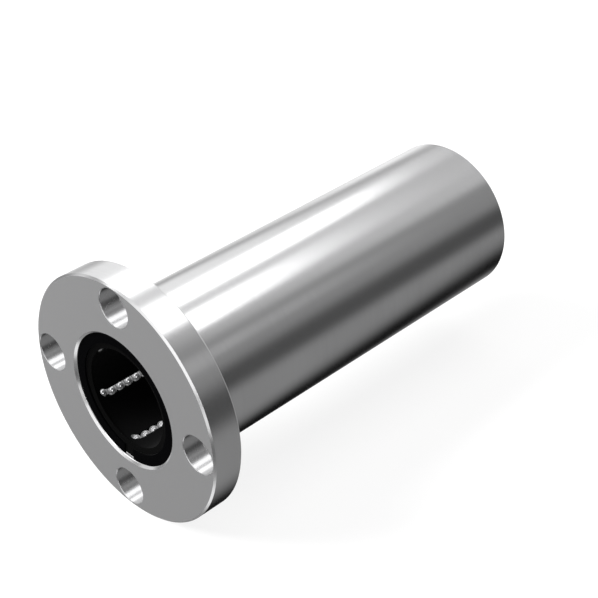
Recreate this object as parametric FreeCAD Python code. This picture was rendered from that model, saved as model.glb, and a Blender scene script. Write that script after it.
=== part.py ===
# Long linear ball bushing with a round flange, for a 25 mm shaft.
# The bore runs along Y and Z is up. The origin is the middle of the flange's seating face,
# which looks towards +Y. The flange's front face looks towards -Y.
# All sizes are in millimetres. A depth is counted inwards from the end face of the bushing.

import FreeCAD, Part
import math
import os

from FreeCAD import Placement, Rotation, Vector

# Shaft and envelope
shaft_radius = 12.5
sleeve_length = 112.0
sleeve_wall = 3.25
flange_overhang = 11.0
flange_thickness = 8.0
flange_front_chamfer = 0.45
flange_rear_chamfer = 0.5
sleeve_end_chamfer = 0.3

# Counterbored screw holes through the flange
screw_hole_count = 4
screw_hole_radius = 2.75
screw_head_radius = 4.75
screw_head_depth = 5.1
screw_head_chamfer = 0.15

# Mouth of the bore, the same at both ends
shoulder_height = 0.549
mouth_chamfer = 0.5
ring_depth = 0.7

# Snap ring
ring_thickness = 0.5
ring_shaft_clearance = 1.5
ring_groove_height = 0.85
ring_groove_clearance = 0.1
ring_side_clearance = 0.02
ring_gap_angle = 11.0
ring_edge_chamfer = 0.12

# Wiping seal
seal_thickness = 0.35
seal_lip_land = 0.2
seal_lip_height = 1.3
seal_seat_clearance = 0.05

# Balls and their circuits
ball_diameter = 2.381
circuit_count = 6
first_circuit_angle = 90.0
lane_ball_gap = 0.03
turn_ball_gap = 0.09
return_lane_lift = 1.06

# Ball retainer, one a side
retainer_bore_clearance = 0.25
retainer_land_clearance = 0.13
track_clearance = 0.12
collar_thickness = 0.4
collar_seat_clearance = 0.1
outer_end_wall = 0.15
inner_end_wall = 0.6
retainer_edge_chamfer = 0.1

# Inner form of the sleeve
land_clearance = 0.05
return_groove_clearance = 0.16
relief_clearance = 0.1
relief_overrun = 0.3

# Ring that spaces the two retainers
spacer_least_length = 4.0
spacer_edge_chamfer = 0.2

# Sizes that follow from the ones above
ball_radius = ball_diameter / 2
load_lane_radius = shaft_radius + ball_radius
return_lane_radius = load_lane_radius + return_lane_lift
lane_pitch = ball_diameter + lane_ball_gap
track_radius = ball_radius + track_clearance

# Two balls stand a quarter turn apart on each end arc, so the arc's radius follows from them.
turn_radius = (ball_diameter + turn_ball_gap) / math.sqrt(2)
turn_ball_angles = (45.0, 135.0)

# The lanes are two turn radii apart, which sets the angle between them at the bushing's axis.
lane_angle = math.degrees(
    math.acos(
        (load_lane_radius**2 + return_lane_radius**2 - (2 * turn_radius) ** 2)
        / (2 * load_lane_radius * return_lane_radius)
    )
)

land_radius = load_lane_radius + ball_radius + land_clearance
return_groove_radius = ball_radius + return_groove_clearance
relief_radius = return_lane_radius + return_groove_radius + relief_clearance
retainer_bore_radius = shaft_radius + retainer_bore_clearance
retainer_radius = land_radius - retainer_land_clearance
mouth_radius = relief_radius + shoulder_height
ring_groove_radius = mouth_radius + ring_groove_height
ring_inner_radius = shaft_radius + ring_shaft_clearance
sleeve_radius = mouth_radius + sleeve_wall
flange_radius = sleeve_radius + flange_overhang
screw_circle_radius = (sleeve_radius + flange_radius) / 2

seal_depth = ring_depth + ring_thickness
retainer_depth = seal_depth + seal_thickness
shoulder_depth = retainer_depth + collar_thickness
turn_depth = retainer_depth + outer_end_wall + track_radius + turn_radius

# As many balls stand in a lane as the sleeve has room for, and the spacer takes what is left.
retainer_room = (sleeve_length - 2 * retainer_depth - spacer_least_length) / 2
retainer_ends = outer_end_wall + inner_end_wall + 2 * (track_radius + turn_radius)
lane_ball_count = math.floor((retainer_room - retainer_ends) / lane_pitch)
lane_length = lane_ball_count * lane_pitch
retainer_length = retainer_ends + lane_length
inner_turn_depth = turn_depth + lane_length
spacer_length = sleeve_length - 2 * (retainer_depth + retainer_length)

front_y = -flange_thickness
rear_y = front_y + sleeve_length
middle_y = (front_y + rear_y) / 2

origin = Vector(0, 0, 0)
along = Vector(0, 1, 0)

# The rear end holds the same pieces as the front end, turned end for end about the vertical.
end_placements = {
    "front": Placement(),
    "rear": Placement(Vector(0, 2 * middle_y, 0), Rotation(Vector(0, 0, 1), 180)),
}


def at_angle(radius, angle, y=0.0):
    """Point at a radius from the bore's axis, with the angle counted from +X towards +Z."""
    turn = math.radians(angle)
    return Vector(radius * math.cos(turn), y, radius * math.sin(turn))


def revolved(profile, sweep=360.0, start_angle=0.0):
    """Solid of revolution about the bore's axis from (radius, y) corners."""
    corners = [Vector(radius, y, 0) for radius, y in profile]
    face = Part.Face(Part.makePolygon(corners + corners[:1]))
    # A turn about -Y leads from +X towards +Z.
    face.rotate(origin, -along, start_angle)
    return face.revolve(origin, -along, sweep)


def cylinder_between(radius, centre, y_start, y_end):
    """Cylinder parallel to the bore, through a centre in the XZ plane."""
    foot = Vector(centre.x, y_start, centre.z)
    return Part.makeCylinder(radius, y_end - y_start, foot, along)


def at_end(shape, end):
    """Copy of a front-end shape, put in place at one end of the bushing."""
    placed = shape.copy()
    placed.Placement = end_placements[end].multiply(placed.Placement)
    return placed


def circuit_angles():
    """Angles of the load lanes around the bore."""
    return [first_circuit_angle + 360.0 * i / circuit_count for i in range(circuit_count)]


def lane_centres(angle):
    """Centres of a circuit's load lane and return lane in the XZ plane."""
    return at_angle(load_lane_radius, angle), at_angle(return_lane_radius, angle - lane_angle)


def turn_axis(angle):
    """Direction about which balls go round both end turns of a circuit."""
    load_centre, return_centre = lane_centres(angle)
    return along.cross((return_centre - load_centre).normalize())


def flange_profile():
    """Outside of flange and sleeve, from the front mouth round to the rear mouth."""
    return [
        (mouth_radius + mouth_chamfer, front_y),
        (flange_radius - flange_front_chamfer, front_y),
        (flange_radius, front_y + flange_front_chamfer),
        (flange_radius, -flange_rear_chamfer),
        (flange_radius - flange_rear_chamfer, 0),
        (sleeve_radius, 0),
        (sleeve_radius, rear_y - sleeve_end_chamfer),
        (sleeve_radius - sleeve_end_chamfer, rear_y),
        (mouth_radius + mouth_chamfer, rear_y),
    ]


def bore_half_profile():
    """Inside of the sleeve from the front face to its middle, as (radius, depth) corners."""
    return [
        (mouth_radius + mouth_chamfer, 0),
        (mouth_radius, mouth_chamfer),
        (mouth_radius, ring_depth - ring_side_clearance),
        (ring_groove_radius, ring_depth - ring_side_clearance),
        (ring_groove_radius, seal_depth),
        (mouth_radius, seal_depth),
        (mouth_radius, shoulder_depth),
        (relief_radius, shoulder_depth),
        (relief_radius, turn_depth + relief_overrun),
        (land_radius, turn_depth + relief_overrun),
        (land_radius, inner_turn_depth - relief_overrun),
        (relief_radius, inner_turn_depth - relief_overrun),
    ]


def return_groove(angle):
    """Cutter for the groove over one return lane, from one relief to the next."""
    _, return_centre = lane_centres(angle)
    return cylinder_between(
        return_groove_radius, return_centre, front_y + turn_depth, front_y + inner_turn_depth
    )


def screw_hole(angle):
    """Cutter for one counterbored screw hole with a broken edge."""
    centre = at_angle(screw_circle_radius, angle)
    seat_y = front_y + screw_head_depth
    through = cylinder_between(screw_hole_radius, centre, seat_y, 0)
    head = cylinder_between(screw_head_radius, centre, front_y, seat_y)
    edge = Part.makeCone(
        screw_head_radius + screw_head_chamfer,
        screw_head_radius,
        screw_head_chamfer,
        Vector(centre.x, front_y, centre.z),
        along,
    )
    return through.fuse([head, edge])


def make_flanged_sleeve():
    """One-piece steel sleeve and flange with ball lands, return grooves and ring grooves."""
    front_bore = [(radius, front_y + depth) for radius, depth in bore_half_profile()]
    rear_bore = [(radius, rear_y - depth) for radius, depth in bore_half_profile()]
    # Both lists start at their own mouth, which the outside already has.
    profile = flange_profile() + rear_bore[1:] + front_bore[:0:-1]
    sleeve = revolved(profile)
    holes = [screw_hole(360.0 * i / screw_hole_count) for i in range(screw_hole_count)]
    grooves = [return_groove(angle) for angle in circuit_angles()]
    grooves_at_ends = [at_end(groove, end) for groove in grooves for end in end_placements]
    return sleeve.cut(holes + grooves_at_ends)


def make_snap_ring():
    """Split retaining ring, sprung into its groove with the gap at the bottom."""
    outer = ring_groove_radius - ring_groove_clearance
    inner = ring_inner_radius
    start = front_y + ring_depth
    end = front_y + seal_depth
    edge = ring_edge_chamfer
    profile = [
        (inner + edge, start),
        (outer, start),
        (outer, end),
        (inner + edge, end),
        (inner, end - edge),
        (inner, start + edge),
    ]
    return revolved(profile, 360.0 - ring_gap_angle, -90.0 + ring_gap_angle / 2)


def make_seal():
    """Thin wiping seal with a lip that thins towards the shaft."""
    start = front_y + seal_depth
    end = front_y + retainer_depth
    lip_start = end - seal_lip_land
    profile = [
        (mouth_radius - seal_seat_clearance, start),
        (mouth_radius - seal_seat_clearance, end),
        (shaft_radius, end),
        (shaft_radius, lip_start),
        (shaft_radius + seal_lip_height, start),
    ]
    return revolved(profile)


def track_cutter(angle):
    """Cutter for one racetrack: two straight lanes joined by two half-round turns."""
    lanes = lane_centres(angle)
    turn_ys = (front_y + turn_depth, front_y + inner_turn_depth)
    pieces = [cylinder_between(track_radius, centre, *turn_ys) for centre in lanes]
    for y, sweep in zip(turn_ys, (-180, 180)):
        load_end, return_end = (Vector(centre.x, y, centre.z) for centre in lanes)
        section = Part.Face(Part.Wire(Part.makeCircle(track_radius, load_end, along)))
        pieces.append(section.revolve((load_end + return_end) / 2, turn_axis(angle), sweep))
    return pieces[0].fuse(pieces[1:])


def make_retainer():
    """Moulded ball retainer with its tilted racetracks and the collar at its outer end."""
    start = front_y + retainer_depth
    end = start + retainer_length
    collar_end = front_y + shoulder_depth
    edge = retainer_edge_chamfer
    profile = [
        (retainer_bore_radius, start),
        (mouth_radius - collar_seat_clearance, start),
        (mouth_radius - collar_seat_clearance, collar_end),
        (retainer_radius, collar_end),
        (retainer_radius, end - edge),
        (retainer_radius - edge, end),
        (retainer_bore_radius, end),
    ]
    return revolved(profile).cut([track_cutter(angle) for angle in circuit_angles()])


def make_spacer():
    """Plain ring between the inner ends of the two retainers."""
    half = spacer_length / 2
    edge = spacer_edge_chamfer
    profile = [
        (retainer_bore_radius, middle_y - half),
        (retainer_radius - edge, middle_y - half),
        (retainer_radius, middle_y - half + edge),
        (retainer_radius, middle_y + half - edge),
        (retainer_radius - edge, middle_y + half),
        (retainer_bore_radius, middle_y + half),
    ]
    return revolved(profile)


def lane_balls(centre):
    """Row of balls along one straight lane, half a pitch clear of each turn."""
    first_y = front_y + turn_depth + lane_pitch / 2
    rows = [first_y + i * lane_pitch for i in range(lane_ball_count)]
    return [Part.makeSphere(ball_radius, Vector(centre.x, y, centre.z)) for y in rows]


def turn_balls(angle, depth, direction):
    """Balls on one end turn. The direction is -1 for the outer turn and 1 for the inner one."""
    load_centre, return_centre = lane_centres(angle)
    middle = (load_centre + return_centre) / 2
    across = (return_centre - load_centre).normalize()
    balls = []
    for turn_angle in turn_ball_angles:
        turn = math.radians(turn_angle)
        sideways = across * (-turn_radius * math.cos(turn))
        lengthways = along * (direction * turn_radius * math.sin(turn))
        centre = middle + sideways + lengthways + along * (front_y + depth)
        balls.append(Part.makeSphere(ball_radius, centre))
    return balls


def ball_groups(angle):
    """The four groups of balls of one circuit that move as one, by name."""
    load_centre, return_centre = lane_centres(angle)
    return {
        "load_balls": lane_balls(load_centre),
        "return_balls": lane_balls(return_centre),
        "outer_turn_balls": turn_balls(angle, turn_depth, -1),
        "inner_turn_balls": turn_balls(angle, inner_turn_depth, 1),
    }


def make_nodes():
    """Every piece of the bushing by the name of its node."""
    nodes = {"flanged_sleeve": make_flanged_sleeve(), "spacer_ring": make_spacer()}
    end_pieces = {
        "snap_ring": make_snap_ring(),
        "seal": make_seal(),
        "retainer": make_retainer(),
    }
    for i, angle in enumerate(circuit_angles(), start=1):
        for group, balls in ball_groups(angle).items():
            end_pieces[f"circuit_{i}_{group}"] = Part.makeCompound(balls)
    for end in end_placements:
        for name, shape in end_pieces.items():
            nodes[f"{end}_{name}"] = at_end(shape, end)
    return nodes


os.makedirs("parts", exist_ok=True)
for node, shape in make_nodes().items():
    shape.exportStep(f"parts/{node}.step")
    print(node, len(shape.Solids), shape.isValid(), round(shape.Volume, 3))
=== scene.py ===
"""Looks of a long linear ball bushing with a round flange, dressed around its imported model.

The bore runs along Y and Z is up. Sizes are in metres. An angle round the bore is counted from
+X towards +Z, and a lean is counted from the plane square to the bore towards +Y.
"""

import logging
import math
from collections.abc import Sequence
from dataclasses import dataclass
from enum import Enum, IntEnum
from typing import Any, Union

import bmesh
import bpy
import numpy as np
from mathutils import Matrix, Vector

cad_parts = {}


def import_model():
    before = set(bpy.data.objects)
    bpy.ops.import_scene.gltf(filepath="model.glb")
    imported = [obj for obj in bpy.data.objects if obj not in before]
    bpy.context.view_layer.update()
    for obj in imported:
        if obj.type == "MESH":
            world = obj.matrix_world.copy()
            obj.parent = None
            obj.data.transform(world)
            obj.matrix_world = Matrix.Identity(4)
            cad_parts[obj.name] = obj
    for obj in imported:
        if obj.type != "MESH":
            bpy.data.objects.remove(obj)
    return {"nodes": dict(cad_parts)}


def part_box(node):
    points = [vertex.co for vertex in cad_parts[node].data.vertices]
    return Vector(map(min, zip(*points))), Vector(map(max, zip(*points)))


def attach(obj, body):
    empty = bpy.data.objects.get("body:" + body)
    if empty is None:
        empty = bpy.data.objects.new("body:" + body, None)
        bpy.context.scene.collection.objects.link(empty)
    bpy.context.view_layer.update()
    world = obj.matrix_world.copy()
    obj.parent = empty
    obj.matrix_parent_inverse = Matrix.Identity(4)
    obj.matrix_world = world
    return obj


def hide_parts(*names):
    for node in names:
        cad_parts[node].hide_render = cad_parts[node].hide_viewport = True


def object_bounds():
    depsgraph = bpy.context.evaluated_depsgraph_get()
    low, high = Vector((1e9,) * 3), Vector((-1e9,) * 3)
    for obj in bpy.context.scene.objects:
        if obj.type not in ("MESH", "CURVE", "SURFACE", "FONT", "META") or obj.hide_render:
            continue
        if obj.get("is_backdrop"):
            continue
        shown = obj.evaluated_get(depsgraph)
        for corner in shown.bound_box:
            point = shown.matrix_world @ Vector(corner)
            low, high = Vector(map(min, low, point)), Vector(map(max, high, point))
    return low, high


Array = np.ndarray
Colour = tuple[float, float, float]
Operand = Union["Signal", float]

MM = 0.001
ROOT_BODY = "bushing"

WELD_DISTANCE = 0.001 * MM
SHARP_ANGLE = math.radians(32.0)

WHITE = (1.0, 1.0, 1.0, 1.0)

# An area lamp with this many watts a square metre has a face of brightness 1.
LAMP_WATTS = 4.0

log = logging.getLogger("bushing")


class End(Enum):
    """The two ends of the bushing; the front one carries the flange."""

    FRONT = "front"
    REAR = "rear"


class Slot(Enum):
    """Material slots of the record."""

    GROUND_STEEL = "ground_steel"
    SPRING_STEEL = "blackened_spring_steel"
    RUBBER = "black_rubber"
    RESIN = "black_resin"
    BALL_STEEL = "polished_ball_steel"


class Signal:
    """Output socket of a node, on which arithmetic adds Math nodes."""

    def __init__(self, tree: "ShaderTree", socket: bpy.types.NodeSocket) -> None:
        """Keeps the socket and the tree that it belongs to."""
        self.tree = tree
        self.socket = socket

    def math(self, operation: str, first: Operand, second: Operand = 0.0) -> "Signal":
        """Adds one Math node.

        Args:
            operation: name of the Math node's operation.
            first: its first value or signal.
            second: its second value or signal.

        Returns:
            The node's result.
        """
        sockets = {0: first, 1: second}
        return self.tree.add("ShaderNodeMath", {"operation": operation}, sockets)

    def __add__(self, other: Operand) -> "Signal":
        """Sum."""
        return self.math("ADD", self, other)

    def __radd__(self, other: Operand) -> "Signal":
        """Sum with a plain number in front."""
        return self.math("ADD", other, self)

    def __sub__(self, other: Operand) -> "Signal":
        """Difference."""
        return self.math("SUBTRACT", self, other)

    def __rsub__(self, other: Operand) -> "Signal":
        """Difference from a plain number in front."""
        return self.math("SUBTRACT", other, self)

    def __mul__(self, other: Operand) -> "Signal":
        """Product."""
        return self.math("MULTIPLY", self, other)

    def __rmul__(self, other: Operand) -> "Signal":
        """Product with a plain number in front."""
        return self.math("MULTIPLY", other, self)

    def greatest(self, other: Operand) -> "Signal":
        """Larger of the two values."""
        return self.math("MAXIMUM", self, other)

    def smooth(self, low: float, high: float) -> "Signal":
        """Smooth step from 0 at low to 1 at high, which may lie the other way round."""
        sockets = {"Value": self, "From Min": low, "From Max": high}
        return self.tree.add("ShaderNodeMapRange", {"interpolation_type": "SMOOTHSTEP"}, sockets)

    def sibling(self, name: str) -> "Signal":
        """Another output of the same node."""
        return Signal(self.tree, self.socket.node.outputs[name])


class ShaderTree:
    """Node tree of one material or world, filled through a single method."""

    def __init__(self, owner: bpy.types.Material | bpy.types.World) -> None:
        """Empties the owner's node tree.

        Args:
            owner: the material or world that the nodes are for.
        """
        owner.use_nodes = True
        self.nodes = owner.node_tree.nodes
        self.links = owner.node_tree.links
        self.nodes.clear()

    def add(self, kind: str, settings: dict[str, Any], sockets: dict[Any, Any]) -> Signal:
        """Adds one node.

        Args:
            kind: the node's type.
            settings: its properties, set first.
            sockets: values or signals for its inputs, by name or number.

        Returns:
            The node's first output, or a signal with no socket where it has none.
        """
        node = self.nodes.new(kind)
        for name, value in settings.items():
            setattr(node, name, value)
        for key, value in sockets.items():
            if isinstance(value, Signal):
                self.links.new(value.socket, node.inputs[key])
            else:
                node.inputs[key].default_value = value
        return Signal(self, node.outputs[0] if node.outputs else None)

    def place(self) -> Signal:
        """Point on the piece, in the part's own frame."""
        return self.add("ShaderNodeTexCoord", {}, {}).sibling("Object")

    def stretched_noise(
        self, place: Signal, per_metre: tuple[float, float, float], detail: float
    ) -> Signal:
        """Noise whose grain has its own size along each axis.

        Args:
            place: the point where it is read.
            per_metre: grains a metre along X, Y and Z.
            detail: how many finer layers are added.

        Returns:
            A value about 0.5.
        """
        sockets = {0: place, 1: per_metre}
        scaled = self.add("ShaderNodeVectorMath", {"operation": "MULTIPLY"}, sockets)
        sockets = {"Vector": scaled, "Scale": 1.0, "Detail": detail}
        return self.add("ShaderNodeTexNoise", {}, sockets)

    def tint(self, light: Colour, dark: Colour, share: Signal) -> Signal:
        """Mix of two colours.

        Args:
            light: colour where the share is 0.
            dark: colour where it is 1.
            share: how much of the dark colour there is.

        Returns:
            The mixed colour.
        """
        sockets = {0: share, 6: (*light, 1.0), 7: (*dark, 1.0)}
        mixed = self.add("ShaderNodeMix", {"data_type": "RGBA"}, sockets)
        return Signal(self, mixed.socket.node.outputs[2])

    def distance(self) -> Signal:
        """Distance of the point from the part's origin."""
        length = self.add("ShaderNodeVectorMath", {"operation": "LENGTH"}, {0: self.place()})
        return length.sibling("Value")

    def glow(self, level: Operand) -> Signal:
        """Light of one grey, where a level of 1 is white."""
        colour = level if isinstance(level, Signal) else (level, level, level, 1.0)
        return self.add("ShaderNodeEmission", {}, {"Color": colour, "Strength": 1.0})

    def relief(self, height: Signal, depth: float) -> Signal:
        """Normal of a surface with a fine relief of the given depth in metres."""
        sockets = {"Height": height, "Strength": 1.0, "Distance": depth}
        return self.add("ShaderNodeBump", {}, sockets)

    def seen(self) -> Signal:
        """Whether the surface is looked at, or only lights something else.

        Returns:
            1 where it is seen directly, in gloss or through glass, and 0 otherwise.
        """
        camera_ray = self.add("ShaderNodeLightPath", {}, {})
        seen = camera_ray.greatest(camera_ray.sibling("Is Glossy Ray"))
        return seen.greatest(camera_ray.sibling("Is Transmission Ray"))

    def surface(self, shader: Signal) -> None:
        """Makes a shader the material's surface."""
        self.add("ShaderNodeOutputMaterial", {}, {"Surface": shader})


class Finish:
    """What every finish shares: a material with one Principled shader."""

    name: str

    def sockets(self, tree: ShaderTree) -> dict[str, Any]:
        """Values and signals for the shader's sockets, which each finish gives."""
        raise NotImplementedError

    def material(self) -> bpy.types.Material:
        """Makes the finish.

        Returns:
            The material.
        """
        material = bpy.data.materials.new(self.name)
        tree = ShaderTree(material)
        tree.surface(tree.add("ShaderNodeBsdfPrincipled", {}, self.sockets(tree)))
        return material


@dataclass(frozen=True)
class GroundSteel(Finish):
    """Hardened steel ground on centres, with fine marks that run round the bushing."""

    name: str = "ground_bearing_steel"
    colour: Colour = (0.56, 0.56, 0.565)
    shade: Colour = (0.51, 0.51, 0.515)
    roughness: float = 0.2
    roughness_spread: float = 0.07
    marks_per_metre: float = 9000.0
    marks_round_per_metre: float = 25.0
    cloud_per_metre: float = 60.0
    mark_depth: float = 0.0004 * MM

    def sockets(self, tree: ShaderTree) -> dict[str, Any]:
        """Marks from noise drawn out round the bore, with a slow cloudiness in the gloss.

        Args:
            tree: the material's node tree.

        Returns:
            Values and signals by socket.
        """
        place = tree.place()
        round_scale = self.marks_round_per_metre
        marks = tree.stretched_noise(place, (round_scale, self.marks_per_metre, round_scale), 2.0)
        cloud = tree.stretched_noise(place, (self.cloud_per_metre,) * 3, 3.0)
        gloss = self.roughness + (marks - 0.5) * self.roughness_spread
        return {
            "Base Color": tree.tint(self.colour, self.shade, marks * cloud * 2.0),
            "Metallic": 1.0,
            "Roughness": gloss + (cloud - 0.5) * self.roughness_spread,
            "Normal": tree.relief(marks, self.mark_depth),
        }


@dataclass(frozen=True)
class SatinFace(Finish):
    """Flat face of the flange, finished matt with a very fine grain."""

    name: str = "satin_flange_face"
    colour: Colour = (0.56, 0.56, 0.565)
    shade: Colour = (0.49, 0.49, 0.495)
    roughness: float = 0.42
    roughness_spread: float = 0.1
    grain_per_metre: float = 7000.0
    grain_depth: float = 0.004 * MM

    def sockets(self, tree: ShaderTree) -> dict[str, Any]:
        """Even grain in colour, gloss and relief.

        Args:
            tree: the material's node tree.

        Returns:
            Values and signals by socket.
        """
        place = tree.place()
        grain = tree.stretched_noise(place, (self.grain_per_metre,) * 3, 2.0)
        return {
            "Base Color": tree.tint(self.colour, self.shade, grain),
            "Metallic": 1.0,
            "Roughness": self.roughness + (grain - 0.5) * self.roughness_spread,
            "Normal": tree.relief(grain, self.grain_depth),
        }


@dataclass(frozen=True)
class BoredSteel(Finish):
    """Smoothly bored walls of the screw holes."""

    name: str = "bored_bearing_steel"
    colour: Colour = (0.43, 0.43, 0.435)
    shade: Colour = (0.40, 0.40, 0.405)
    roughness: float = 0.27
    roughness_spread: float = 0.05
    cloud_per_metre: float = 300.0

    def sockets(self, tree: ShaderTree) -> dict[str, Any]:
        """Slow clouds in colour and gloss.

        Args:
            tree: the material's node tree.

        Returns:
            Values and signals by socket.
        """
        cloud = tree.stretched_noise(tree.place(), (self.cloud_per_metre,) * 3, 2.0)
        return {
            "Base Color": tree.tint(self.colour, self.shade, cloud),
            "Metallic": 1.0,
            "Roughness": self.roughness + (cloud - 0.5) * self.roughness_spread,
        }


@dataclass(frozen=True)
class BlackPart(Finish):
    """Black surface of a small part, with a fine grain."""

    name: str
    colour: Colour
    shade: Colour
    roughness: float
    reflectance: float
    grain_per_metre: float
    grain_depth: float
    roughness_spread: float = 0.1

    def sockets(self, tree: ShaderTree) -> dict[str, Any]:
        """Grain in colour, gloss and relief.

        Args:
            tree: the material's node tree.

        Returns:
            Values and signals by socket.
        """
        grain = tree.stretched_noise(tree.place(), (self.grain_per_metre,) * 3, 3.0)
        return {
            "Base Color": tree.tint(self.colour, self.shade, grain),
            "Metallic": 0.0,
            "Roughness": self.roughness + (grain - 0.5) * self.roughness_spread,
            "Specular IOR Level": self.reflectance,
            "Normal": tree.relief(grain, self.grain_depth),
        }


@dataclass(frozen=True)
class BallSteel(Finish):
    """Mirror polished balls with a trace of running wear in the gloss; their dark colour is painted
    shade of the bore.
    """

    name: str = "polished_ball_steel_finish"
    # Colour and shade sit far below polished steel: painted shade of the bore that the balls run in
    colour: Colour = (0.26, 0.26, 0.264)
    shade: Colour = (0.235, 0.235, 0.239)
    roughness: float = 0.14
    roughness_spread: float = 0.05
    wear_per_metre: float = 900.0

    def sockets(self, tree: ShaderTree) -> dict[str, Any]:
        """Clouds of slightly duller gloss.

        Args:
            tree: the material's node tree.

        Returns:
            Values and signals by socket.
        """
        wear = tree.stretched_noise(tree.place(), (self.wear_per_metre,) * 3, 2.0)
        return {
            "Base Color": tree.tint(self.colour, self.shade, wear),
            "Metallic": 1.0,
            "Roughness": self.roughness + (wear - 0.5) * self.roughness_spread,
        }


SPRING_FINISH = BlackPart(
    name="blackened_spring_steel_finish",
    colour=(0.0007, 0.0007, 0.0008),
    shade=(0.0004, 0.0004, 0.0005),
    roughness=0.4,
    reflectance=0.002,
    grain_per_metre=5000.0,
    grain_depth=0.002 * MM,
)
RUBBER_FINISH = BlackPart(
    name="black_rubber_finish",
    colour=(0.001, 0.001, 0.001),
    shade=(0.0006, 0.0006, 0.0006),
    roughness=0.62,
    reflectance=0.012,
    grain_per_metre=4000.0,
    grain_depth=0.006 * MM,
)
RESIN_FINISH = BlackPart(
    name="black_resin_finish",
    colour=(0.0022, 0.0022, 0.0023),
    shade=(0.0012, 0.0012, 0.0012),
    roughness=0.45,
    reflectance=0.004,
    grain_per_metre=3000.0,
    grain_depth=0.003 * MM,
)


def rounded(
    corners: Sequence[tuple[float, float]],
    radii: Sequence[float],
    hold: float = 0.03 * MM,
    steps: int = 5,
) -> Array:
    """Profile whose corners are turned into arcs.

    At a corner with the angle a between its sides, an arc of radius r touches both sides at
    r / tan(a / 2) from the corner, about a centre r / sin(a / 2) along the bisector. One more point
    on each side, a little beyond the arc, keeps the flats flat when they are shaded smooth.

    Args:
        corners: (radius, y) corners, in order.
        radii: a radius for each corner but the first and the last; 0 keeps it sharp.
        hold: distance of the extra points from the arc.
        steps: segments in an arc.

    Returns:
        Points of the profile, one a row.
    """
    points = np.array(corners, float)
    made = [points[:1]]
    for before, corner, after, radius in zip(points, points[1:], points[2:], radii):
        if radius == 0.0:
            made.append(corner[None])
            continue
        sides = np.array([before - corner, after - corner])
        sides /= np.linalg.norm(sides, axis=1, keepdims=True)
        half = math.acos(float(np.clip(sides[0] @ sides[1], -1.0, 1.0))) / 2
        bisector = sides.sum(axis=0) / np.linalg.norm(sides.sum(axis=0))
        centre = corner + bisector * radius / math.sin(half)
        touch = radius / math.tan(half)
        ends = corner + sides * touch - centre
        sweep = (math.pi - 2 * half) * np.linspace(0.0, 1.0, steps + 1)
        turn = np.sign(ends[0][0] * ends[1][1] - ends[0][1] * ends[1][0])
        cosine, sine = np.cos(sweep), turn * np.sin(sweep)
        along, up = ends[0]
        arc = np.stack([along * cosine - up * sine, along * sine + up * cosine], axis=1)
        first, last = corner + sides * (touch + hold)
        made += [first[None], centre + arc, last[None]]
    made.append(points[-1:])
    return np.concatenate(made)


def ring_points(radii: Array, ys: Array, angles: Array) -> Array:
    """Grid of points round the bore's axis, at (r cos a, y, r sin a).

    Args:
        radii: radius of each point, or of each row.
        ys: place of each row along the bore.
        angles: angle of each column.

    Returns:
        The points by row and column.
    """
    x = radii * np.cos(angles)
    z = radii * np.sin(angles)
    return np.stack([x, np.broadcast_to(ys, x.shape), z], axis=-1)


def revolved(profile: Array, angles: Array) -> Array:
    """Grid of a (radius, y) profile turned about the bore's axis."""
    return ring_points(profile[:, :1], profile[:, 1:], angles[None])


class Shell:
    """Closed mesh gathered from grids of points."""

    def __init__(self, name: str) -> None:
        """Starts with no points.

        Args:
            name: name of the piece.
        """
        self.name = name
        self.points: list[Array] = []
        self.faces: list[list[int]] = []
        self.finishes: list[int] = []
        self.count = 0

    def add_grid(self, grid: Array, finish: int, closed: bool) -> None:
        """Adds the quads between neighbouring points of a grid.

        Args:
            grid: points by row and column.
            finish: number of the material that they take.
            closed: whether the last column joins the first.
        """
        rows, columns = grid.shape[:2]
        numbers = self.count + np.arange(rows * columns).reshape(rows, columns)
        if closed:
            numbers = np.concatenate([numbers, numbers[:, :1]], axis=1)
        corners = [numbers[:-1, :-1], numbers[:-1, 1:], numbers[1:, 1:], numbers[1:, :-1]]
        quads = np.stack(corners, axis=-1)
        self.points.append(grid.reshape(-1, 3))
        self.faces += quads.reshape(-1, 4).tolist()
        self.finishes += [finish] * quads[..., 0].size
        self.count += rows * columns

    def add_cap(self, outline: Array, finish: int) -> None:
        """Adds one flat face.

        Args:
            outline: its corners, one a row.
            finish: number of the material that it takes.
        """
        self.points.append(outline)
        self.faces.append(list(range(self.count, self.count + len(outline))))
        self.finishes.append(finish)
        self.count += len(outline)

    def build(self, materials: Sequence[bpy.types.Material]) -> bpy.types.Object:
        """Joins the grids where they meet and makes the object.

        Args:
            materials: the piece's materials, by finish number.

        Returns:
            The object, at the origin, with its faces pointing outwards.
        """
        mesh = bpy.data.meshes.new(self.name)
        mesh.from_pydata(np.concatenate(self.points), [], self.faces)
        mesh.polygons.foreach_set("material_index", np.array(self.finishes, np.int32))
        for material in materials:
            mesh.materials.append(material)
        work = bmesh.new()
        work.from_mesh(mesh)
        bmesh.ops.remove_doubles(work, verts=work.verts, dist=WELD_DISTANCE)
        bmesh.ops.recalc_face_normals(work, faces=work.faces)
        open_edges = sum(1 for edge in work.edges if not edge.is_manifold)
        work.to_mesh(mesh)
        work.free()
        mesh.shade_smooth()
        mesh.set_sharp_from_angle(angle=SHARP_ANGLE)
        piece = bpy.data.objects.new(self.name, mesh)
        bpy.context.scene.collection.objects.link(piece)
        log.info("%s: %d faces, %d open edges", self.name, len(mesh.polygons), open_edges)
        return piece


class SleeveFinish(IntEnum):
    """Finishes of the sleeve's faces, by the number of their material."""

    GROUND = 0
    FACE = 1
    BORED = 2


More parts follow.
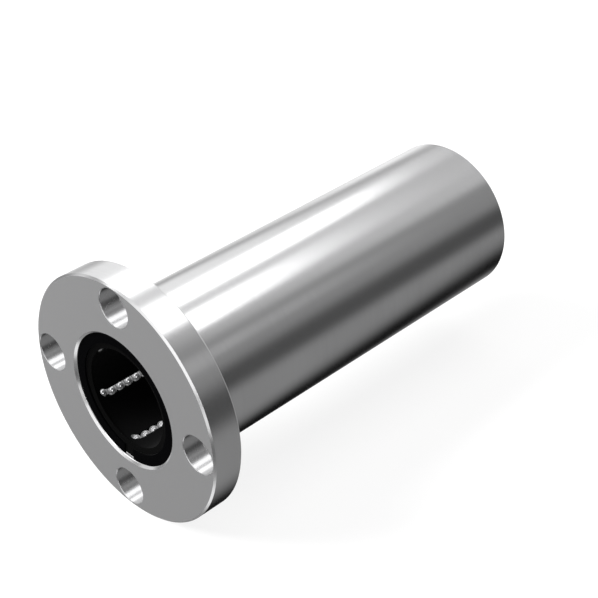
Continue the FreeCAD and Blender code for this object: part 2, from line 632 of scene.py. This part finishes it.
@dataclass
class FlangedSleeve:
    """Ground sleeve with its round flange, screw holes, ball lands and ring grooves."""

    front_y: float = -8.0 * MM
    rear_y: float = 104.0 * MM
    sleeve_radius: float = 20.0 * MM
    flange_radius: float = 31.0 * MM
    front_chamfer: float = 0.45 * MM
    rear_chamfer: float = 0.5 * MM
    end_chamfer: float = 0.3 * MM
    corner_fillet: float = 0.15 * MM
    edge_break: float = 0.05 * MM
    edge_band: float = 0.06 * MM
    hole_circle: float = 25.5 * MM
    hole_count: int = 4
    hole_radius: float = 2.75 * MM
    head_radius: float = 4.75 * MM
    head_depth: float = 5.1 * MM
    head_chamfer: float = 0.15 * MM
    mouth_radius: float = 16.75 * MM
    mouth_chamfer: float = 0.5 * MM
    ring_radius: float = 17.6 * MM
    ring_start: float = 0.68 * MM
    ring_end: float = 1.2 * MM
    shoulder_depth: float = 1.95 * MM
    relief_radius: float = 16.201 * MM
    land_radius: float = 14.931 * MM
    land_start: float = 5.057 * MM
    land_end: float = 47.855 * MM
    return_lane_radius: float = 14.7505 * MM
    return_groove_radius: float = 1.3505 * MM
    first_return_angle: float = 76.6
    circuit_count: int = 6
    columns: int = 384
    sector_steps: int = 32

    # Places of the rows of faces between a screw hole's round and its sector's outline
    ROW_SHARES = (0.0, 0.12, 0.35, 0.65, 1.0)
    FIRST_CORNER = math.radians(225.0)

    def angles(self) -> Array:
        """Angles round the bore, from the edge of the first hole's sector."""
        turn = 2 * math.pi * np.arange(self.columns) / self.columns
        return turn - self.sector_half()

    def sector_half(self) -> float:
        """Half the angle of the sector round a screw hole."""
        return math.pi * self.sector_steps / self.columns

    def groove_reach(self, angles: Array, rear: bool) -> Array:
        """Radius to which the return grooves reach at each angle.

        A groove is a round of radius g about a point at radius R, so at the angle d from that
        point its wall lies at R cos d + sqrt(g^2 - R^2 sin^2 d). Beyond the round there is none.

        Args:
            angles: angles round the bore.
            rear: whether the rear retainer's grooves are meant, which are turned end for end.

        Returns:
            The radius at each angle, 0 where there is no groove.
        """
        step = 360.0 / self.circuit_count
        centres = np.radians(self.first_return_angle + step * np.arange(self.circuit_count))
        if rear:
            centres = math.pi - centres
        offset = angles[None] - centres[:, None]
        side = self.return_lane_radius * np.sin(offset)
        inside = (np.abs(side) < self.return_groove_radius) & (np.cos(offset) > 0)
        depth = np.sqrt(np.maximum(self.return_groove_radius**2 - side**2, 0.0))
        reach = np.where(inside, self.return_lane_radius * np.cos(offset) + depth, 0.0)
        return reach.max(axis=0)

    def mouth(self) -> tuple[list[tuple[float, float]], list[float]]:
        """Inside of one end, from its mouth's chamfer to the middle of the bore.

        Returns:
            The (radius, depth) corners, and how far each of them is broken.
        """
        fine = self.edge_break
        corners = [
            (self.mouth_radius + self.mouth_chamfer, 0.0),
            (self.mouth_radius, self.mouth_chamfer),
            (self.mouth_radius, self.ring_start),
            (self.ring_radius, self.ring_start),
            (self.ring_radius, self.ring_end),
            (self.mouth_radius, self.ring_end),
            (self.mouth_radius, self.shoulder_depth),
            (self.relief_radius, self.shoulder_depth),
            (self.relief_radius, self.land_start),
            (self.land_radius, self.land_start),
            (self.land_radius, self.land_end),
            (self.relief_radius, self.land_end),
        ]
        broken = [fine, fine, fine / 2]
        return corners, broken + [0.0] * (len(corners) - len(broken))

    def body_profile(self) -> Array:
        """Profile from the flange's back round the rear end and through the bore to its front.

        Returns:
            The (radius, y) points.
        """
        corners, radii = self.mouth()
        rear = [(radius, self.rear_y - depth) for radius, depth in corners]
        front = [(radius, self.front_y + depth) for radius, depth in reversed(corners)]
        outside = [
            (self.sleeve_radius + self.edge_band, 0.0),
            (self.sleeve_radius, 0.0),
            (self.sleeve_radius, self.rear_y - self.end_chamfer),
            (self.sleeve_radius - self.end_chamfer, self.rear_y),
        ]
        ending = [(self.mouth_radius + self.mouth_chamfer + self.edge_band, self.front_y)]
        outside_radii = [self.corner_fillet, self.edge_break, self.edge_break]
        return rounded(outside + rear + front + ending, outside_radii + radii + radii[::-1])

    def body_grid(self) -> Array:
        """Grid of the body, with the return grooves sunk into the ball lands.

        It is the profile turned about the bore's axis, with the radius on the lands raised to the
        reach of the grooves.

        Returns:
            The points by row and column.
        """
        profile = self.body_profile()
        angles = self.angles()
        radii = np.repeat(profile[:, :1], self.columns, axis=1)
        middle = (self.front_y + self.rear_y) / 2
        for rear in (False, True):
            on_land = np.isclose(profile[:, 0], self.land_radius)
            on_land &= (profile[:, 1] > middle) == rear
            radii[on_land] = np.maximum(radii[on_land], self.groove_reach(angles, rear))
        return ring_points(radii, profile[:, 1:], angles[None])

    def rim_profile(self) -> Array:
        """Profile of the flange's rim, from the front face to the back face.

        Returns:
            The (radius, y) points.
        """
        corners = [
            (self.flange_radius - self.front_chamfer - self.edge_band, self.front_y),
            (self.flange_radius - self.front_chamfer, self.front_y),
            (self.flange_radius, self.front_y + self.front_chamfer),
            (self.flange_radius, -self.rear_chamfer),
            (self.flange_radius - self.rear_chamfer, 0.0),
            (self.flange_radius - self.rear_chamfer - self.edge_band, 0.0),
        ]
        return rounded(corners, [self.edge_break] * 4)

    def hole_profile(self) -> Array:
        """Profile of one screw hole about its own axis, from the front face to the back face.

        Returns:
            The (radius, y) points.
        """
        seat_y = self.front_y + self.head_depth
        corners = [
            (self.head_radius + self.head_chamfer + self.edge_band, self.front_y),
            (self.head_radius + self.head_chamfer, self.front_y),
            (self.head_radius, self.front_y + self.head_chamfer),
            (self.head_radius, seat_y),
            (self.hole_radius, seat_y),
            (self.hole_radius, 0.0),
            (self.hole_radius + self.edge_band, 0.0),
        ]
        return rounded(corners, [self.edge_break] * 5)

    def hole_loop(self, radius: Array, y: Array, centre_angle: float) -> Array:
        """Points on rounds about one screw hole's axis, starting at its sector's first corner.

        At the local angle b the point of a round r lies r cos b beyond the hole's circle and
        r sin b to its side, both turned by the hole's angle.

        Args:
            radius: radius of each round about the hole's axis.
            y: place of each round along the bore.
            centre_angle: angle of the hole round the bore.

        Returns:
            The points, one row a round.
        """
        count = 4 * self.sector_steps
        local = self.FIRST_CORNER - 2 * math.pi * np.arange(count) / count
        out = self.hole_circle + radius * np.cos(local)
        across = radius * np.sin(local)
        x = out * math.cos(centre_angle) - across * math.sin(centre_angle)
        z = out * math.sin(centre_angle) + across * math.cos(centre_angle)
        return np.stack([x, np.broadcast_to(y, x.shape), z], axis=-1)

    def sector_outline(self, inner: float, outer: float, y: float, centre_angle: float) -> Array:
        """Outline of the sector round one screw hole, with as many points on each of its sides.

        It runs along the inner arc, out, back along the outer arc, and in.

        Args:
            inner: inner radius of the sector.
            outer: outer radius of the sector.
            y: where it lies along the bore.
            centre_angle: angle of the hole round the bore.

        Returns:
            The points, in order.
        """
        share = np.arange(self.sector_steps) / self.sector_steps
        flat = np.zeros(self.sector_steps)
        half = self.sector_half()
        rise = (outer - inner) * share
        radii = np.concatenate([flat + inner, inner + rise, flat + outer, outer - rise])
        sweep = half * (2 * share - 1)
        angles = np.concatenate([sweep, flat + half, -sweep, flat - half])
        return ring_points(radii[None], np.array([[y]]), angles[None] + centre_angle)[0]

    def add_pierced_face(
        self, shell: Shell, inner: float, outer: float, y: float, hole_edge: float
    ) -> None:
        """Adds a flat ring with the screw holes left open.

        Round each hole, rows lead from the hole's round to the outline of its sector, and between
        those sectors the ring is an even polar grid.

        Args:
            shell: the mesh that takes it.
            inner: inner radius of the ring.
            outer: outer radius of the ring.
            y: where it lies along the bore.
            hole_edge: radius of the holes in it.
        """
        shares = np.array(self.ROW_SHARES)[:, None, None]
        radii = np.linspace(inner, outer, self.sector_steps + 1)[:, None]
        between = self.columns // self.hole_count - self.sector_steps
        for index in range(self.hole_count):
            centre_angle = 2 * math.pi * index / self.hole_count
            hole = self.hole_loop(np.array(hole_edge), np.array(y), centre_angle)
            outline = self.sector_outline(inner, outer, y, centre_angle)
            shell.add_grid(hole + (outline - hole) * shares, SleeveFinish.FACE, closed=True)
            start = centre_angle + self.sector_half()
            angles = start + 2 * math.pi * np.arange(between + 1) / self.columns
            plain = ring_points(radii, np.array([[y]]), angles[None])
            shell.add_grid(plain, SleeveFinish.FACE, closed=False)

    def build(self, materials: Sequence[bpy.types.Material]) -> bpy.types.Object:
        """Builds the closed sleeve and puts it in its node's place.

        Args:
            materials: ground steel, the flange's face and the screw holes' walls.

        Returns:
            The finished piece.
        """
        shell = Shell("ground_flanged_sleeve")
        angles = self.angles()
        rim = self.rim_profile()
        holes = self.hole_profile()
        shell.add_grid(self.body_grid(), SleeveFinish.GROUND, closed=True)
        shell.add_grid(revolved(rim, angles), SleeveFinish.GROUND, closed=True)
        mouth_edge = self.mouth_radius + self.mouth_chamfer + self.edge_band
        self.add_pierced_face(shell, mouth_edge, float(rim[0, 0]), self.front_y, float(holes[0, 0]))
        back_edge = self.sleeve_radius + self.edge_band
        self.add_pierced_face(shell, back_edge, float(rim[-1, 0]), 0.0, float(holes[-1, 0]))
        for index in range(self.hole_count):
            wall = self.hole_loop(holes[:, :1], holes[:, 1:], 2 * math.pi * index / self.hole_count)
            shell.add_grid(wall, SleeveFinish.BORED, closed=True)
        piece = shell.build(materials)
        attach(piece, ROOT_BODY)
        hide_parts("flanged_sleeve")
        return piece


@dataclass
class SnapRing:
    """Split ring that holds a seal and a retainer in, with its gap at the bottom."""

    end: End
    inner: float = 14.0 * MM
    outer: float = 17.5 * MM
    gap_angle: float = 11.0
    inner_edge: float = 0.12 * MM
    outer_edge: float = 0.05 * MM
    end_round: float = 0.1 * MM
    end_columns: int = 5
    columns: int = 240

    def section(self, near: float, far: float) -> Array:
        """Rounded section of the ring.

        Args:
            near: where it starts along the bore.
            far: where it ends along the bore.

        Returns:
            The (radius, y) points of a closed outline.
        """
        inner, outer = self.inner, self.outer
        start = ((inner + outer) / 2, near)
        corners = [start, (outer, near), (outer, far), (inner, far), (inner, near), start]
        return rounded(corners, [self.outer_edge] * 2 + [self.inner_edge] * 2)[:-1]

    def build(self, materials: Sequence[bpy.types.Material]) -> bpy.types.Object:
        """Carries the section round the bore from one side of the gap to the other.

        The section draws in a little towards its middle over the last columns, which rounds the
        ring's two ends.

        Args:
            materials: the ring's finish.

        Returns:
            The finished piece.
        """
        node = f"{self.end.value}_snap_ring"
        low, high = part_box(node)
        section = self.section(low.y, high.y)
        middle = (section.min(axis=0) + section.max(axis=0)) / 2
        half_gap = math.radians(self.gap_angle / 2)
        lead = self.end_round / self.outer
        quarter = np.linspace(0.0, math.pi / 2, self.end_columns)
        start = half_gap + lead * (1 - np.sin(quarter))
        body = np.linspace(half_gap + lead, 2 * math.pi - half_gap - lead, self.columns)
        turns = np.concatenate([start[::-1], body[1:-1], 2 * math.pi - start]) - math.pi / 2
        draw = self.end_round * (1 - np.cos(quarter))
        inset = np.concatenate([draw[::-1], np.zeros(self.columns - 2), draw])
        offset = section - middle
        reach = np.abs(offset).max(axis=0)
        shrunk = middle + offset[:, None] * (1 - inset[None, :, None] / reach)
        shell = Shell(f"{self.end.value}_spring_ring")
        grid = ring_points(shrunk[..., 0], shrunk[..., 1], turns[None])
        shell.add_grid(grid.transpose(1, 0, 2), 0, closed=True)
        shell.add_cap(grid[:, 0], 0)
        shell.add_cap(grid[:, -1], 0)
        piece = shell.build(materials)
        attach(piece, ROOT_BODY)
        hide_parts(node)
        return piece


@dataclass
class PackedPieces:
    """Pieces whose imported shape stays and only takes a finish."""

    nodes: dict[str, bpy.types.Object]

    def dress(self, ending: str, material: bpy.types.Material) -> None:
        """Gives a finish to every node whose name has the given ending.

        Args:
            ending: the end of the nodes' names.
            material: the finish.
        """
        for name, node in self.nodes.items():
            if name.endswith(ending):
                node.material_slots[0].material = material
                log.info("%s: %s", name, material.name)


@dataclass(frozen=True)
class GreyPatch:
    """Soft-edged patch of one grey on the drum, in degrees of bearing and lean.

    The first two numbers are its middle, the next two its half widths, and each half width has a
    fade at its low and at its high edge. A level of 1 is white. The slope is how far the patch
    shifts in bearing with each degree of lean.
    """

    bearing: float
    lean: float
    half_bearing: float
    half_lean: float
    fade_bearing: tuple[float, float]
    fade_lean: tuple[float, float]
    level: float
    slope: float = 0.0

    def mask(self, tree: ShaderTree, bearing: Signal, lean: Signal) -> Signal:
        """1 inside the patch and 0 outside it.

        Args:
            tree: the drum's node tree.
            bearing: angle round the bushing, in degrees.
            lean: angle along it, in degrees.

        Returns:
            The patch's share at that point.
        """
        rise = lean - self.lean
        apart = bearing - self.bearing - rise * self.slope
        offset = tree.add("ShaderNodeMath", {"operation": "WRAP"}, {0: apart, 1: 180.0, 2: -180.0})
        across = self.band(offset, self.half_bearing, self.fade_bearing)
        return across * self.band(rise, self.half_lean, self.fade_lean)

    @staticmethod
    def band(place: Signal, half: float, fade: tuple[float, float]) -> Signal:
        """Value that is 1 across a band and fades to 0 at its two edges.

        Args:
            place: distance from the band's middle.
            half: half the band's width.
            fade: width over which each edge fades.

        Returns:
            The value.
        """
        return place.smooth(-half, fade[0] - half) * place.smooth(half, half - fade[1])


@dataclass(frozen=True)
class CardDrum:
    """Drum of white and grey card round the bushing, which only shows in gloss.

    In the camera's view the sleeve, the rim and the screw holes' walls mirror the cards that lean
    25 to 42 degrees, and the flange's face and chamfers mirror those that lean the other way.
    """

    radius: float = 3.0
    half_length: float = 11.0
    columns: int = 64
    surrounding: float = 1.0

    PATCHES = (
        # Greys and streaks of the sleeve's side, and its dark underside
        GreyPatch(-28.0, 0.0, 123.0, 80.0, (26.0, 38.0), (10.0, 10.0), 0.38),
        GreyPatch(41.0, 0.0, 9.0, 40.0, (5.0, 5.0), (5.0, 5.0), 0.62),
        GreyPatch(55.0, 0.0, 6.0, 34.0, (5.0, 4.0), (5.0, 8.0), 0.38),
        GreyPatch(66.0, 45.0, 15.0, 18.0, (14.0, 9.0), (5.0, 5.0), 0.8),
        GreyPatch(86.0, 37.0, 10.0, 4.5, (7.0, 7.0), (2.0, 5.0), 1.2),
        GreyPatch(0.0, 0.0, 26.0, 80.0, (20.0, 20.0), (10.0, 10.0), 0.11),
        GreyPatch(-86.0, 38.5, 43.0, 26.0, (34.0, 37.0), (10.0, 10.0), 0.0, 2.2),
        GreyPatch(-128.0, 18.0, 14.0, 18.0, (8.0, 8.0), (8.0, 10.0), 0.1),
        # Light and grey streaks along its top
        GreyPatch(165.0, 0.0, 19.0, 38.0, (4.0, 6.0), (5.0, 5.0), 1.35),
        GreyPatch(115.0, 48.0, 45.0, 11.0, (15.0, 15.0), (5.0, 5.0), 0.75),
        GreyPatch(173.0, 39.0, 13.0, 18.0, (9.0, 9.0), (8.0, 8.0), 0.52, -1.9),
        GreyPatch(-167.0, 46.0, 13.0, 10.0, (6.0, 9.0), (4.0, 5.0), 1.3),
        # Grey of the flange's face
        GreyPatch(-135.0, -35.0, 60.0, 42.0, (20.0, 20.0), (5.0, 50.0), 0.49),
        # Light and dark stretches of the chamfers; the brightest also makes spots on the balls
        GreyPatch(75.0, -58.0, 90.0, 17.0, (15.0, 15.0), (8.0, 8.0), 1.75),
        GreyPatch(68.0, -36.0, 22.0, 12.0, (8.0, 8.0), (6.0, 6.0), 4.5),
        GreyPatch(4.0, -58.0, 11.0, 16.0, (8.0, 8.0), (6.0, 6.0), 0.7),
        GreyPatch(-18.0, -52.0, 13.0, 12.0, (6.0, 6.0), (6.0, 6.0), 1.5),
        GreyPatch(-42.0, -45.0, 14.0, 12.0, (8.0, 6.0), (8.0, 8.0), 0.2),
        GreyPatch(-78.0, -22.0, 20.0, 16.0, (12.0, 16.0), (8.0, 10.0), 1.5),
        GreyPatch(158.0, -30.0, 12.0, 14.0, (8.0, 8.0), (8.0, 8.0), 0.55),
        GreyPatch(-176.0, -12.0, 12.0, 12.0, (8.0, 8.0), (8.0, 8.0), 1.45),
        # Grey card abreast of the bushing, for an upper edge that stands out in side views
        GreyPatch(158.0, 0.0, 58.0, 17.0, (8.0, 10.0), (8.0, 8.0), 0.42),
        # Spots on the balls
        GreyPatch(15.0, -20.0, 16.0, 15.0, (6.0, 6.0), (6.0, 6.0), 5.5),
    )

    def build(self, target: Vector) -> bpy.types.Object:
        """Sets the drum round the bushing: a round of points at each end, joined by quads.

        Args:
            target: the middle of the bushing.

        Returns:
            The drum.
        """
        turns = 2 * math.pi * np.arange(self.columns) / self.columns
        ys = np.array([[-self.half_length], [self.half_length]])
        grid = ring_points(np.full((2, 1), self.radius), ys, turns[None])
        numbers = np.arange(2 * self.columns).reshape(2, self.columns)
        following = np.roll(numbers, -1, axis=1)
        quads = np.stack([numbers[0], following[0], following[1], numbers[1]], axis=-1)
        mesh = bpy.data.meshes.new("card_drum")
        mesh.from_pydata(grid.reshape(-1, 3), [], quads.tolist())
        mesh.materials.append(self.material())
        drum = bpy.data.objects.new("card_drum", mesh)
        bpy.context.scene.collection.objects.link(drum)
        drum.location = target
        drum.visible_camera = False
        drum.visible_diffuse = False
        drum.visible_transmission = False
        drum.visible_shadow = False
        drum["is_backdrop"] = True
        return drum

    def material(self) -> bpy.types.Material:
        """White card with the grey patches laid over one another, the later ones on top.

        Returns:
            The drum's material.
        """
        material = bpy.data.materials.new("studio_card")
        tree = ShaderTree(material)
        x = tree.add("ShaderNodeSeparateXYZ", {}, {0: tree.place()})
        y, z = x.sibling("Y"), x.sibling("Z")
        bearing = z.math("ARCTAN2", z, x) * math.degrees(1.0)
        lean = y.math("ARCTAN2", y, self.radius) * math.degrees(1.0)
        level: Operand = self.surrounding
        for patch in self.PATCHES:
            level = level + patch.mask(tree, bearing, lean) * (patch.level - level)
        tree.surface(tree.glow(level))
        return material


@dataclass(frozen=True)
class SoftBox:
    """Large soft lamp, by where it stands and the half angles that it fills for the bushing.

    Its radiance is the brightness of its face. A lamp that isn't mirrored gives its light without
    showing in gloss.
    """

    name: str
    bearing: float
    lean: float
    half_across: float
    half_along: float
    radiance: float
    mirrored: bool = True
    distance: float = 2.0

    def build(self, target: Vector) -> bpy.types.Object:
        """Stands the lamp up facing the bushing.

        Args:
            target: the middle of the bushing.

        Returns:
            The lamp.
        """
        width = 2 * self.distance * math.tan(math.radians(self.half_across))
        height = 2 * self.distance * math.tan(math.radians(self.half_along))
        lamp = bpy.data.lights.new(self.name, "AREA")
        lamp.shape = "RECTANGLE"
        lamp.size = width
        lamp.size_y = height
        lamp.energy = LAMP_WATTS * width * height * self.radiance
        box = bpy.data.objects.new(self.name, lamp)
        bpy.context.scene.collection.objects.link(box)
        box.matrix_world = facing(target, self.bearing, self.lean, self.distance)
        box.visible_glossy = self.mirrored
        return box


def facing(target: Vector, bearing: float, lean: float, distance: float) -> Matrix:
    """Place of a flat thing that faces the bushing.

    Args:
        target: the point that it faces.
        bearing: angle round the bore, in degrees from +X towards +Z.
        lean: angle towards +Y, in degrees.
        distance: how far off it stands.

    Returns:
        A matrix whose X runs round the bore, Y along it towards the front and -Z to the target.
    """
    turn, tilt = math.radians(bearing), math.radians(lean)
    level = math.cos(tilt)
    back = Vector((math.cos(turn) * level, math.sin(tilt), math.sin(turn) * level))
    across = Vector((-math.sin(turn), 0.0, math.cos(turn)))
    along = back.cross(across)
    placed = Matrix((across, along, back)).transposed().to_4x4()
    placed.translation = target + back * distance
    return placed


@dataclass
class Studio:
    """Pale floor, white surroundings, soft boxes and the drum of cards.

    The floor shows shadows near the bushing and fades to plain white further off. Ambient is the
    surroundings' strength as a light, and surrounding is how white they look.
    """

    target: Vector
    floor_z: float
    floor_colour: Colour = (0.93, 0.93, 0.93)
    floor_half: float = 12.0
    floor_glow: float = 0.85
    floor_fade: tuple[float, float] = (0.2, 0.7)
    surrounding: float = 1.0
    ambient: float = 0.45

    BOXES = (
        SoftBox(
            "overhead_box", bearing=89.0, lean=-2.0, half_across=14.5, half_along=36.5, radiance=1.7
        ),
        SoftBox(
            "left_box", bearing=134.0, lean=2.0, half_across=14.0, half_along=38.0, radiance=1.7
        ),
        SoftBox(
            "high_front_box", bearing=132.0, lean=-38.0, half_across=13.0, half_along=13.0,
            radiance=38.0, mirrored=False,
        ),
    )

    def build_floor(self) -> None:
        """Lays the floor under the flange's rim."""
        sides = ((-1, -1), (1, -1), (1, 1), (-1, 1))
        corners = [(x * self.floor_half, y * self.floor_half, self.floor_z) for x, y in sides]
        mesh = bpy.data.meshes.new("floor")
        mesh.from_pydata(corners, [], [(0, 1, 2, 3)])
        material = bpy.data.materials.new("pale_floor")
        tree = ShaderTree(material)
        cloth = tree.add("ShaderNodeBsdfDiffuse", {}, {"Color": (*self.floor_colour, 1.0)})
        share = self.floor_glow + tree.distance().smooth(*self.floor_fade) * (1 - self.floor_glow)
        sockets = {0: tree.seen() * share, 1: cloth, 2: tree.glow(self.surrounding)}
        tree.surface(tree.add("ShaderNodeMixShader", {}, sockets))
        mesh.materials.append(material)
        floor = bpy.data.objects.new("floor", mesh)
        bpy.context.scene.collection.objects.link(floor)
        floor.visible_glossy = False
        floor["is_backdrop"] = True

    def build_surroundings(self) -> None:
        """Makes the world: white where it is seen, and softer where it only lights."""
        world = bpy.data.worlds.new("surroundings")
        bpy.context.scene.world = world
        tree = ShaderTree(world)
        strength = self.ambient + tree.seen() * (self.surrounding - self.ambient)
        light = tree.add("ShaderNodeBackground", {}, {"Color": WHITE, "Strength": strength})
        tree.add("ShaderNodeOutputWorld", {}, {"Surface": light})

    def build(self) -> None:
        """Sets up floor, surroundings, lamps and cards."""
        self.build_floor()
        self.build_surroundings()
        CardDrum(surrounding=self.surrounding).build(self.target)
        for box in self.BOXES:
            box.build(self.target)
            log.info("studio: %s", box.name)
        bpy.context.scene.view_settings.view_transform = "Standard"


@dataclass
class PhotoCamera:
    """Camera of the photograph: the isometric direction, aimed at the middle of the bushing.

    Its bearing is counted from the front towards +X.
    """

    target: Vector
    bearing: float = 45.0
    elevation: float = math.degrees(math.atan(math.sqrt(0.5)))
    distance: float = 347.6 * MM
    lens: float = 85.0
    sensor: float = 36.0

    def build(self) -> bpy.types.Object:
        """Makes it the scene's camera.

        Returns:
            The camera.
        """
        turn, rise = math.radians(self.bearing), math.radians(self.elevation)
        level = math.cos(rise)
        back = Vector((math.sin(turn) * level, -math.cos(turn) * level, math.sin(rise)))
        data = bpy.data.cameras.new("camera")
        data.lens = self.lens
        data.sensor_width = self.sensor
        data.clip_start = self.distance / 100
        data.clip_end = self.distance * 1000
        camera = bpy.data.objects.new("camera", data)
        bpy.context.scene.collection.objects.link(camera)
        camera.rotation_mode = "QUATERNION"
        camera.location = self.target + back * self.distance
        camera.rotation_quaternion = (-back).to_track_quat("-Z", "Y")
        bpy.context.scene.camera = camera
        return camera


def keep_out_of_gloss(pieces: Sequence[bpy.types.Object]) -> None:
    """Lets each piece mirror the studio alone, so the screw holes are banded as the sleeve is."""
    for piece in pieces:
        piece.visible_glossy = False


def main() -> None:
    """Builds and dresses the bushing's pieces in order, then the studio and the camera."""
    logging.basicConfig(level=logging.INFO, format="%(name)s %(message)s", force=True)
    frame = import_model()
    cad_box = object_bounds()
    low, high = cad_box
    middle = (low + high) / 2

    ground = GroundSteel().material()
    pieces = [FlangedSleeve().build([ground, SatinFace().material(), BoredSteel().material()])]
    spring = SPRING_FINISH.material()
    pieces += [SnapRing(end).build([spring]) for end in End]
    packed = PackedPieces(frame["nodes"])
    packed.dress("_seal", RUBBER_FINISH.material())
    resin = RESIN_FINISH.material()
    packed.dress("_retainer", resin)
    packed.dress("spacer_ring", resin)
    packed.dress("_balls", BallSteel().material())
    keep_out_of_gloss([*pieces, *packed.nodes.values()])

    Studio(middle, low.z).build()
    PhotoCamera(middle).build()


if __name__ == "__main__":
    main()
